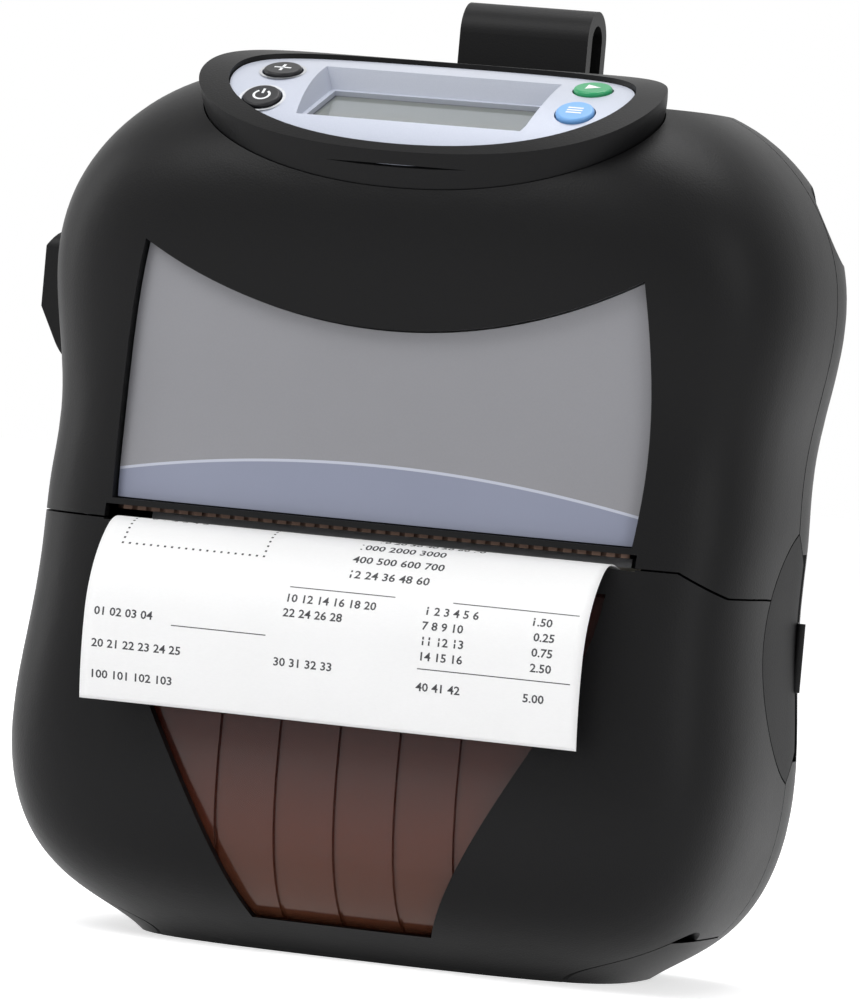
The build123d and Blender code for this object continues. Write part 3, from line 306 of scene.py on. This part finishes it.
def printer_paper():
    """Thermal paper: nearly white, faintly fibrous."""
    finish = Finish("white_paper", 0.55, Coat_Weight=0.08, Coat_Roughness=0.4)
    fibre = finish.noise(0.0008, 4.0, spread=(1, 3, 3))
    cloud = finish.noise(0.02, 3.0)
    finish.colour(finish.blend(fibre * 0.5 + cloud * 0.5, srgb(240, 240, 240), srgb(252, 252, 252)))
    finish.rough(0.5 + fibre * 0.12)
    finish.bump(fibre, 0.12, 0.00005)
    return finish.material


def wound_paper():
    """Roll of paper: fine turns show on its ends, faint bands on its outside."""
    finish = Finish("wound_paper", 0.6)
    y = finish.axis("Y") / MM - ROLL_CENTRE[0]
    z = finish.axis("Z") / MM - ROLL_CENTRE[1]
    reach = (y * y + z * z) ** 0.5
    turns = finish.add("ShaderNodeMath", {"operation": "SINE"}, {0: reach * 17.0})
    drift = finish.noise(0.006, 3.0, spread=(0.2, 1, 1))
    finish.colour(finish.blend(turns * 0.18 + drift * 0.4, srgb(226, 223, 216), srgb(246, 245, 241)))
    finish.rough(0.52 + drift * 0.14)
    finish.bump(turns, 0.15, 0.00006)
    return finish.material


def thermal_print():
    """Grey-black thermal print, slightly uneven."""
    finish = Finish("thermal_print", 0.6)
    wear = finish.noise(0.0012, 3.0)
    finish.colour(finish.blend(wear, srgb(34, 34, 38), srgb(66, 66, 70)))
    finish.rough(0.5 + wear * 0.15)
    finish.bump(wear, 0.05, 0.00002)
    return finish.material


def mask_board():
    """Green solder mask with faint tracks."""
    finish = Finish("green_board", 0.35, Coat_Weight=0.4, Coat_Roughness=0.2)
    tracks = finish.add(
        "ShaderNodeTexBrick", {"offset": 0.37},
        {"Vector": finish.place, "Scale": 260.0, "Mortar Size": 0.06, "Row Height": 0.4}, "Fac"
    )
    cloud = finish.noise(0.01, 2.0)
    finish.colour(finish.blend(tracks, srgb(22, 82, 48), srgb(48, 120, 74)))
    finish.rough(0.28 + cloud * 0.14)
    finish.bump(tracks, 0.1, 0.00004)
    return finish.material


def ground_rubber():
    """Ground rubber roller."""
    finish = Finish("platen_rubber", 0.7)
    rings = finish.noise(0.0005, 2.0, spread=(2.5, 0.3, 0.3))
    finish.colour(finish.blend(rings, srgb(34, 34, 36), srgb(56, 56, 58)))
    finish.rough(0.64 + rings * 0.16)
    finish.bump(rings, 0.25, 0.00005)
    return finish.material


def card_tube():
    """Grey-brown board of the roll core."""
    finish = Finish("core_board", 0.8)
    fibre = finish.noise(0.0012, 4.0, spread=(0.4, 1, 1))
    finish.colour(finish.blend(fibre, srgb(140, 116, 88), srgb(176, 152, 120)))
    finish.rough(0.72 + fibre * 0.14)
    finish.bump(fibre, 0.3, 0.0001)
    return finish.material


FINISHES = {
    "dark_shell": moulded(
        "dark_shell", srgb(13, 13, 14), 0.42, 0.00042, 0.35, Specular_IOR_Level=0.14
    ),
    "smoked_window": smoked_moulding_painted_shadow(),
    "pale_panel": panel_film(),
    "display_glass": display_face(),
    "green_board": mask_board(),
    "dark_key": moulded(
        "dark_key", srgb(22, 22, 25), 0.36, 0.0003, 0.12, Specular_IOR_Level=0.25
    ),
    "green_key": moulded("green_key", srgb(24, 150, 92), 0.34, 0.0003, 0.12),
    "blue_key": moulded("blue_key", srgb(112, 168, 226), 0.34, 0.0003, 0.12),
    "black_plastic": moulded(
        "black_plastic", srgb(15, 15, 16), 0.44, 0.0004, 0.25, Specular_IOR_Level=0.16
    ),
    "grey_plate": plate_film(),
    "ceramic_head": moulded("ceramic_head", srgb(214, 208, 194), 0.3, 0.0006, 0.1),
    "bare_aluminium": cut_metal("bare_aluminium", srgb(200, 201, 205), 0.36, (0.05, 2, 2)),
    "tear_metal": cut_metal("tear_metal", srgb(84, 68, 60), 0.34, (3, 0.2, 1)),
    "white_paper": printer_paper(),
    "platen_rubber": ground_rubber(),
    "shaft_steel": cut_metal("shaft_steel", srgb(190, 190, 194), 0.28, (3, 0.3, 0.3)),
    "natural_plastic": moulded("natural_plastic", srgb(232, 229, 216), 0.42, 0.0006, 0.15),
    "brass_pinion": cut_metal("brass_pinion", srgb(214, 178, 102), 0.3, (0.3, 2, 2)),
    "motor_can": cut_metal("motor_can", srgb(150, 152, 156), 0.38, (0.2, 2, 2)),
    "inner_plastic": moulded(
        "inner_plastic", srgb(40, 40, 42), 0.55, 0.0008, 0.3, Specular_IOR_Level=0.25
    ),
    "soft_rubber": moulded(
        "soft_rubber", srgb(13, 13, 14), 0.55, 0.0004, 0.35, Specular_IOR_Level=0.14
    ),
    "core_board": card_tube(),
}
PRINT = thermal_print()
WOUND = wound_paper()
MARK_WHITE = moulded("mark_white", srgb(232, 234, 236), 0.4, 0.0003, 0.08)
MARK_SILVER = cut_metal("mark_silver", srgb(206, 208, 212), 0.3, (2, 2, 0.5))


def dress(node, material):
    """Give a CAD node its finish."""
    slots = frame["nodes"][node].data.materials
    slots.clear()
    slots.append(material)


for part in frame["record"]["subparts"]:
    dress(part["node"], FINISHES[part["material_slot"]])
dress("media_roll", WOUND)


def solid_piece(name, verts, faces, material, body, smooth=True):
    """Mesh piece made from points in millimetres that rides on a body."""
    mesh = bpy.data.meshes.new(name)
    mesh.from_pydata([tuple(value * MM for value in point) for point in verts], [], faces)
    mesh.update()
    if smooth:
        mesh.shade_smooth()
    else:
        mesh.shade_flat()
    piece = bpy.data.objects.new(name, mesh)
    bpy.context.scene.collection.objects.link(piece)
    mesh.materials.append(material)
    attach(piece, body)
    return piece


def settle(piece):
    """Turn a piece's live modifiers into its own mesh."""
    depsgraph = bpy.context.evaluated_depsgraph_get()
    piece.data = bpy.data.meshes.new_from_object(piece.evaluated_get(depsgraph))
    piece.modifiers.clear()
    return piece


# Camera, from the photograph: eighteen degrees to the right, nearly level, turned five degrees
AZIMUTH = math.radians(18.0)
ELEVATION = math.radians(1.5)
ROLL = math.radians(5.1)
FOCAL_PX = 7100.0
PX_PER_MM = 4.92
AIM_PX = (418.0, 505.0)
AIM = Vector((0, 0, 92))


def add_camera():
    """Camera at the photograph's viewing angle."""
    back = Vector((
        math.sin(AZIMUTH) * math.cos(ELEVATION),
        -math.cos(AZIMUTH) * math.cos(ELEVATION),
        math.sin(ELEVATION),
    ))
    side = Vector((math.cos(AZIMUTH), math.sin(AZIMUTH), 0))
    rise = back.cross(side)
    right = side * math.cos(ROLL) + rise * math.sin(ROLL)
    up = rise * math.cos(ROLL) - side * math.sin(ROLL)
    distance = FOCAL_PX / PX_PER_MM
    shift_x = (AIM_PX[0] - 430) / FOCAL_PX * distance
    shift_y = (AIM_PX[1] - 500) / FOCAL_PX * distance
    place = (AIM + back * distance - right * shift_x + up * shift_y) * MM
    camera = bpy.data.objects.new("camera", bpy.data.cameras.new("camera"))
    bpy.context.scene.collection.objects.link(camera)
    camera.data.sensor_fit = "VERTICAL"
    camera.data.sensor_height = 36.0
    camera.data.lens = FOCAL_PX * 36.0 / 1000
    camera.data.clip_start = 0.05
    camera.data.clip_end = 20
    turned = [[right[i], up[i], back[i], place[i]] for i in range(3)]
    camera.matrix_world = Matrix([*turned, [0, 0, 0, 1]])
    bpy.context.scene.camera = camera


def seen_share(tree):
    """One where a ray comes from the camera, a mirror or see-through plastic, and zero elsewhere."""
    kinds = ("Is Camera Ray", "Is Glossy Ray", "Is Transmission Ray")
    rays = [tree.add("ShaderNodeLightPath", output=kind) for kind in kinds]
    total = rays[0] + rays[1] + rays[2]
    return tree.add("ShaderNodeMath", {"operation": "MINIMUM"}, {0: total, 1: 1.0})


def add_stage():
    """Pale floor with a soft shadow, and a white surround."""
    bpy.context.scene.view_settings.view_transform = "Standard"
    mesh = bpy.data.meshes.new("floor")
    mesh.from_pydata([(-4, -4, 0), (4, -4, 0), (4, 4, 0), (-4, 4, 0)], [], [(0, 1, 2, 3)])
    floor = bpy.data.objects.new("floor", mesh)
    bpy.context.scene.collection.objects.link(floor)
    finish = Finish("floor_white", 0.9, Specular_IOR_Level=0.1)
    finish.colour(finish.blend(finish.noise(0.6, 2.0), srgb(240, 240, 241), srgb(246, 246, 247)))
    glow = finish.blend(seen_share(finish), (0, 0, 0, 1), (1, 1, 1, 1))
    finish.feed(finish.shader.inputs["Emission Color"], glow)
    finish.shader.inputs["Emission Strength"].default_value = 0.62
    mesh.materials.append(finish.material)

    world = bpy.data.worlds.new("surround")
    world.use_nodes = True
    bpy.context.scene.world = world
    tree = Tree(world.node_tree)
    background = world.node_tree.nodes["Background"]
    seen = seen_share(tree)
    height = tree.add(
        "ShaderNodeSeparateXYZ", {}, {"Vector": tree.add("ShaderNodeTexCoord", output="Generated")}, "Z"
    )
    ambient = 0.34 + height * 0.1
    background.inputs["Color"].default_value = (1, 1, 1, 1)
    tree.feed(background.inputs["Strength"], ambient + seen * (1 - ambient))


def add_light(name, place, aim, size, power, tint=(1, 1, 1)):
    """Soft rectangular studio light aimed at a point."""
    lamp = bpy.data.lights.new(name, "AREA")
    lamp.shape = "RECTANGLE"
    lamp.size, lamp.size_y = size
    lamp.energy = power
    lamp.color = tint
    holder = bpy.data.objects.new(name, lamp)
    holder.location = place
    holder.rotation_euler = (Vector(aim) - Vector(place)).to_track_quat("-Z", "Y").to_euler()
    bpy.context.scene.collection.objects.link(holder)


add_camera()
add_stage()
add_light("key_light", (-0.55, -0.8, 1.15), (0, 0, 0.1), (0.7, 0.7), 9.0)
add_light("top_light", (0.1, 0.25, 1.3), (0, 0, 0.12), (0.9, 0.6), 7.0)
add_light("fill_light", (1.2, -0.7, 0.6), (0, 0, 0.09), (0.6, 0.9), 4.0)
add_light("left_light", (-1.1, 0.0, 0.4), (0, 0, 0.09), (0.4, 0.8), 2.5)


def strip_line():
    """Line of the paper as (y, z, run y, run z, distance), sampled from the print line outwards."""
    lean = math.radians(NIP_ANGLE)
    y, z = NIP
    angle = math.pi - lean
    straight = (y - PAPER_EXIT_Y) / math.cos(lean)
    samples = []
    for step in range(9):
        part = straight * step / 8
        samples.append((y - part * math.cos(lean), z + part * math.sin(lean), angle, part))
    far = straight
    y, z = samples[-1][:2]
    for radius, turn in PAPER_CURLS:
        steps = max(6, int(turn / 3))
        sweep = math.radians(turn) / steps
        for _ in range(steps):
            middle = angle + sweep / 2
            chord = 2 * radius * math.sin(sweep / 2)
            y += chord * math.cos(middle)
            z += chord * math.sin(middle)
            angle += sweep
            far += radius * sweep
            samples.append((y, z, angle, far))
    return samples


STRIP = strip_line()
STRIP_LENGTH = STRIP[-1][3]


def on_strip(u, far, lift):
    """Point of the paper at u across and far along it, lifted off its middle."""
    far = min(max(far, 0.0), STRIP_LENGTH)
    for first, second in zip(STRIP, STRIP[1:]):
        if far <= second[3]:
            share = (far - first[3]) / (second[3] - first[3])
            y, z, angle = [first[i] + (second[i] - first[i]) * share for i in range(3)]
            break
    free = max(0.0, far - 22.0) / (STRIP_LENGTH - 22.0)
    wave = free * 0.22 * math.sin(u / 21.0 + 0.8) + free * free * 0.35 * (abs(u) / PAPER_HALF) ** 3
    rise = 0.125 + wave + lift
    return (u, y + math.sin(angle) * rise, z - math.cos(angle) * rise)


def make_paper_sheet():
    """Thin printed sheet that curls down from the slot."""
    across = 52
    along = 72
    verts = []
    for row in range(along + 1):
        for column in range(across + 1):
            u = -PAPER_HALF + 2 * PAPER_HALF * column / across
            verts.append(on_strip(u, STRIP_LENGTH * row / along, 0.0))
    faces = []
    wide = across + 1
    for row in range(along):
        for column in range(across):
            a = row * wide + column
            faces.append((a, a + wide, a + wide + 1, a + 1))
    sheet = solid_piece("paper_sheet", verts, faces, FINISHES["white_paper"], "cover")
    wall = sheet.modifiers.new("wall", "SOLIDIFY")
    wall.thickness = 0.12 * MM
    wall.offset = 0
    settle(sheet)
    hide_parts("paper_strip")


def text_shape(body, size, stretch):
    """Flat numbers as vertices and faces, in millimetres, with the baseline at zero."""
    curve = bpy.data.curves.new("figures", "FONT")
    curve.body = body
    curve.size = size
    curve.resolution_u = 2
    curve.offset = 0.018 * size
    holder = bpy.data.objects.new("figures", curve)
    bpy.context.scene.collection.objects.link(holder)
    depsgraph = bpy.context.evaluated_depsgraph_get()
    mesh = bpy.data.meshes.new_from_object(holder.evaluated_get(depsgraph))
    verts = [(v.co.x * stretch, v.co.y) for v in mesh.vertices]
    faces = [tuple(p.vertices) for p in mesh.polygons]
    bpy.data.objects.remove(holder)
    return verts, faces


PRINT_ROWS = (
    (-44.5, 58.9, 2.5, "0 1 2 3 4 5"),
    (4.0, 58.0, 2.3, "10 20 30 40 50 60 70"),
    (1.0, 54.4, 2.5, "1000 2000 3000"),
    (1.0, 50.6, 2.5, "400 500 600 700"),
    (1.0, 46.8, 2.5, "12 24 36 48 60"),
    (-10.5, 40.4, 2.3, "10 12 14 16 18 20"),
    (-10.5, 37.4, 2.3, "22 24 26 28"),
    (18.5, 40.6, 2.3, "1 2 3 4 5 6"),
    (18.5, 37.6, 2.3, "7 8 9 10"),
    (18.5, 34.6, 2.3, "11 12 13"),
    (18.5, 31.6, 2.3, "14 15 16"),
    (40.5, 40.6, 2.3, "1.50"),
    (41.5, 37.6, 2.3, "0.25"),
    (41.5, 34.6, 2.3, "0.75"),
    (41.5, 31.6, 2.3, "2.50"),
    (-50.0, 34.0, 2.3, "01 02 03 04"),
    (-50.0, 27.6, 2.3, "20 21 22 23 24 25"),
    (-50.0, 21.4, 2.3, "100 101 102 103"),
    (-11.5, 27.6, 2.3, "30 31 32 33"),
    (18.5, 25.6, 2.3, "40 41 42"),
    (40.5, 25.6, 2.3, "5.00"),
)
PRINT_DROP = 17.0
PRINT_LIFT = 0.075
RULES = ((-33.5, -13.5, 33.2), (-10.0, 12.0, 43.4), (24.0, 50.0, 43.4), (18.5, 50.0, 29.8))


def make_print():
    """Plain numbers, rules and a dotted box on the paper."""
    verts = []
    faces = []
    def place(points, shape):
        start = len(verts)
        verts.extend(on_strip(u, STRIP_LENGTH + PRINT_DROP - rise, PRINT_LIFT) for u, rise in points)
        faces.extend(tuple(start + i for i in face) for face in shape)

    for left, rise, size, body in PRINT_ROWS:
        points, shape = text_shape(body, size, 1.12)
        place([(left + x, rise + y) for x, y in points], shape)
    for left, right, rise in RULES:
        count = int((right - left) / 1.5)
        for step in range(count):
            x0 = left + (right - left) * step / count
            x1 = left + (right - left) * (step + 1) / count
            high = rise + 0.2
            place([(x0, rise), (x1, rise), (x1, high), (x0, high)], [(0, 1, 2, 3)])
    dots = [(x, z) for z in (60.6, 49.6) for x in [-47.5 + 1.5 * i for i in range(21)]]
    dots += [(x, z) for x in (-47.5, -17.5) for z in [51.0 + 1.4 * i for i in range(7)]]
    for x, z in dots:
        place([(x, z), (x + 0.45, z), (x + 0.45, z + 0.45), (x, z + 0.45)], [(0, 1, 2, 3)])
    solid_piece("paper_print", verts, faces, PRINT, "cover", smooth=False)


make_paper_sheet()
make_print()


def key_point(side, angle, x, y, lift):
    """Point over a key, with x and y in the key's own top face."""
    lean = math.radians(angle)
    arc_y, arc_z, radius = PANEL_ARC
    reach = radius + KEY_PROUD + lift
    return (
        side * KEY_X + x,
        arc_y - reach * math.sin(lean) + y * math.cos(lean),
        arc_z + reach * math.cos(lean) + y * math.sin(lean),
    )


def ring(centre, inner, outer, start=0.0, end=360.0, steps=32):
    """Flat ring or arc as points in (x, y) and faces."""
    points = []
    for step in range(steps + 1):
        turn = math.radians(start + (end - start) * step / steps)
        for radius in (inner, outer):
            points.append((centre[0] + radius * math.cos(turn), centre[1] + radius * math.sin(turn)))
    return points, [(2 * i, 2 * i + 1, 2 * i + 3, 2 * i + 2) for i in range(steps)]


def bar(x0, x1, y0, y1):
    """Flat bar as points and a face."""
    return [(x0, y0), (x1, y0), (x1, y1), (x0, y1)], [(0, 1, 2, 3)]


MARK_LIFT = 0.03
RING_LIFT = 0.06
KEY_MARKS = {
    "key_feed": (-1, (bar(-1.8, 1.8, -0.3, 0.3), bar(-0.3, 0.3, -1.8, 1.8))),
    "key_power": (-1, (ring((0, 0), 1.35, 1.85, 125, 415), bar(-0.25, 0.25, 0.5, 2.2))),
    "key_select": (1, (([(-1.3, -1.5), (1.7, 0), (-1.3, 1.5)], [(0, 1, 2)]),)),
    "key_scroll": (
        1, (bar(-1.6, 1.6, 0.7, 1.2), bar(-1.6, 1.6, -0.25, 0.25), bar(-1.6, 1.6, -1.2, -0.7)),
    ),
}


def make_key_marks():
    """White marks on the keys and silver rings round the two dark ones."""
    for node, (side, shapes) in KEY_MARKS.items():
        verts = []
        faces = []
        for points, shape in shapes:
            start = len(verts)
            verts += [key_point(side, KEY_ANGLES[node], x, y, MARK_LIFT) for x, y in points]
            faces += [tuple(start + i for i in face) for face in shape]
        body = node + "_body"
        solid_piece(node + "_mark", verts, faces, MARK_WHITE, body, smooth=False)
        if side < 0:
            points, shape = ring((0, 0), KEY_R + 0.35, KEY_R + 0.95)
            rim = [key_point(side, KEY_ANGLES[node], x, y, RING_LIFT - KEY_PROUD) for x, y in points]
            solid_piece(node + "_ring", rim, shape, MARK_SILVER, "printer", smooth=False)


make_key_marks()


def place_tree(name, inputs):
    """Empty Geometry Nodes tree with a geometry input and named inputs for its sizes."""
    group = bpy.data.node_groups.new(name, "GeometryNodeTree")
    group.interface.new_socket("Geometry", in_out="INPUT", socket_type="NodeSocketGeometry")
    for label, kind in inputs:
        group.interface.new_socket(label, in_out="INPUT", socket_type=kind)
    group.interface.new_socket("Geometry", in_out="OUTPUT", socket_type="NodeSocketGeometry")
    tree = Tree(group)
    source = group.nodes.new("NodeGroupInput")
    given = {socket.name: Link(tree, socket) for socket in source.outputs if socket.name}
    return tree, given


def run_tree(piece, tree, values):
    """Run a tree on a piece with its inputs set, and keep the result as the piece's own mesh."""
    modifier = piece.modifiers.new("place", "NODES")
    modifier.node_group = tree.nodes
    for item in tree.nodes.interface.items_tree:
        if item.in_out == "INPUT" and item.name in values:
            modifier[item.identifier] = values[item.name]
    piece.update_tag()
    return settle(piece)


def end_tree(tree, geometry, material):
    """Realize the instances, give them their material and close the tree."""
    real = tree.add("GeometryNodeRealizeInstances", {}, {"Geometry": geometry})
    painted = tree.add("GeometryNodeSetMaterial", {}, {"Geometry": real, "Material": material})
    tree.feed(tree.nodes.nodes.new("NodeGroupOutput").inputs["Geometry"], painted)


def screw_head(radius, height, socket, steps=24):
    """Button-head screw with a six-sided socket, its top towards +Y, as a mesh object in metres."""
    verts = []
    faces = []

    def loop(reach, y, sides):
        start = len(verts)
        for step in range(steps):
            turn = 2 * math.pi * step / steps
            if sides:
                part = turn % (2 * math.pi / sides) - math.pi / sides
                far = reach * math.cos(math.pi / sides) / math.cos(part)
            else:
                far = reach
            verts.append((far * math.cos(turn) * MM, y * MM, far * math.sin(turn) * MM))
        return start

    rings = [
        loop(radius, 0, 0), loop(radius, height * 0.45, 0), loop(radius * 0.86, height * 0.85, 0),
        loop(radius * 0.66, height, 0), loop(socket, height, 6), loop(socket, height * 0.25, 6),
    ]
    for first, second in zip(rings, rings[1:]):
        for step in range(steps):
            after = (step + 1) % steps
            faces.append((first + step, second + step, second + after, first + after))
    faces.append(tuple(rings[-1] + step for step in range(steps)))
    faces.append(tuple(rings[0] + step for step in reversed(range(steps))))
    mesh = bpy.data.meshes.new("screw_shape")
    mesh.from_pydata(verts, [], faces)
    mesh.update()
    shape = bpy.data.objects.new("screw_shape", mesh)
    bpy.context.scene.collection.objects.link(shape)
    return shape


def make_screw_heads():
    """Housing screws sunk in the back, one head on each place."""
    shape = screw_head(2.2, 1.6, 1.1)
    tree, given = place_tree("screw_places", [
        ("Head", "NodeSocketObject"), ("Turn", "NodeSocketFloat"),
    ])
    head = tree.add("GeometryNodeObjectInfo", {}, {"Object": given["Head"]}, "Geometry")
    place = tree.add("GeometryNodeMeshToPoints", {}, {"Mesh": given["Geometry"]})
    index = tree.add("GeometryNodeInputIndex")
    turn = tree.add("ShaderNodeCombineXYZ", {}, {"Y": index * given["Turn"]})
    heads = tree.add(
        "GeometryNodeInstanceOnPoints", {}, {"Points": place, "Instance": head, "Rotation": turn}
    )
    end_tree(tree, heads, FINISHES["shaft_steel"])
    points = [(x, BACK_Y - SCREW_SINK, z) for x, z in SCREW_PLACES]
    piece = solid_piece("screw_heads", points, [], FINISHES["shaft_steel"], "printer")
    run_tree(piece, tree, {"Head": shape, "Turn": 0.7})
    bpy.data.objects.remove(shape)


def make_board_parts():
    """Small parts scattered over the front of the main board."""
    tree, given = place_tree("board_parts", [
        ("Spacing", "NodeSocketFloat"), ("Part Size", "NodeSocketVector"), ("Seed", "NodeSocketInt"),
    ])
    spread = tree.add(
        "GeometryNodeDistributePointsOnFaces", {"distribute_method": "POISSON"},
        {"Mesh": given["Geometry"], "Distance Min": given["Spacing"], "Density Max": 60000.0,
         "Seed": given["Seed"]},
    )
    grow = tree.add(
        "FunctionNodeRandomValue", {"data_type": "FLOAT_VECTOR"},
        {0: (0.5, 0.7, 0.5), 1: (1.9, 1.1, 1.5), "Seed": given["Seed"]},
    )
    chip = tree.add("GeometryNodeMeshCube", {}, {"Size": given["Part Size"]})
    parts = tree.add(
        "GeometryNodeInstanceOnPoints", {}, {"Points": spread, "Instance": chip, "Scale": grow}
    )
    end_tree(tree, parts, FINISHES["black_plastic"])
    corners = [(x, BOARD_FRONT_Y, z) for x, z in ((-50, 85), (28, 85), (28, 115), (-50, 115))]
    piece = solid_piece(
        "board_parts", corners, [(0, 1, 2, 3)], FINISHES["black_plastic"], "printer"
    )
    run_tree(piece, tree, {"Spacing": 0.0045, "Part Size": (0.0024, 0.0013, 0.0022), "Seed": 4})
    piece.data.shade_flat()


make_screw_heads()
make_board_parts()
